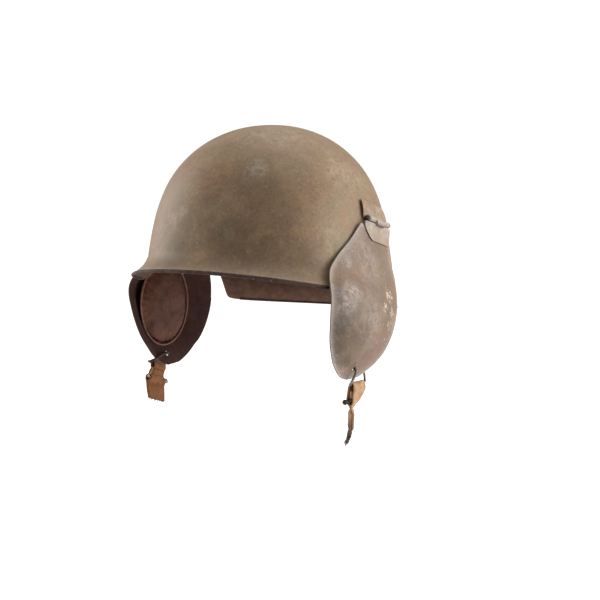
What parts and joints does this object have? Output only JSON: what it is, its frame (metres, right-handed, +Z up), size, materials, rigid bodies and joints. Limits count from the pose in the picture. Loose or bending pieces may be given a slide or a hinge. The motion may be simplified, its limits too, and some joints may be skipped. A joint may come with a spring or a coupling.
{
  "type": "flak helmet",
  "caption": "Steel helmet shell with flared rim and cut-away sides, hinged cupped ear flaps, round leather ear pads and short webbing chin-strap stubs on wire rings",
  "frame": {"origin": "middle of the head opening at brow level, where a head would hold the helmet", "axes": "+Z up to the crown, visor towards -Y, the wearer's left ear towards +X"},
  "size_m": [0.2472, 0.2771, 0.2917],
  "materials": {
    "shell_paint": "worn satin",
    "flap_paint": "worn satin",
    "edge_steel": "dull",
    "worn_steel": "worn",
    "dark_steel": "dull",
    "wire": "bright",
    "leather": "matt",
    "webbing": "matt",
    "torn_webbing": "matt"
  },
  "bodies": {
    "helmet": {"shell": "shell_paint", "visor_rim": "edge_steel", "nape_rim": "edge_steel", "hinge_leaf_upper_left": "shell_paint", "hinge_leaf_upper_right": "shell_paint", "hinge_pin_left": "dark_steel", "hinge_pin_right": "dark_steel"},
    "flap_left": {"ear_flap_left": "flap_paint", "hinge_leaf_lower_left": "worn_steel", "ear_pad_left": "leather", "strap_ring_left": "wire", "strap_left": "torn_webbing", "strap_bar_left": "dark_steel"},
    "flap_right": {"ear_flap_right": "flap_paint", "hinge_leaf_lower_right": "worn_steel", "ear_pad_right": "leather", "strap_ring_right": "wire", "strap_right": "webbing", "strap_bar_right": "worn_steel"}
  },
  "joints": [
    {"name": "flap_left_hinge", "type": "hinge", "parent": "helmet", "child": "flap_left", "pos_m": [0.1046, 0.0173, 0.0567], "axis": [0, -0.974, 0.2266], "range_deg": [0, 115]},
    {"name": "flap_right_hinge", "type": "hinge", "parent": "helmet", "child": "flap_right", "pos_m": [-0.1046, 0.0173, 0.0567], "axis": [0, 0.974, -0.2266], "range_deg": [0, 115]}
  ]
}
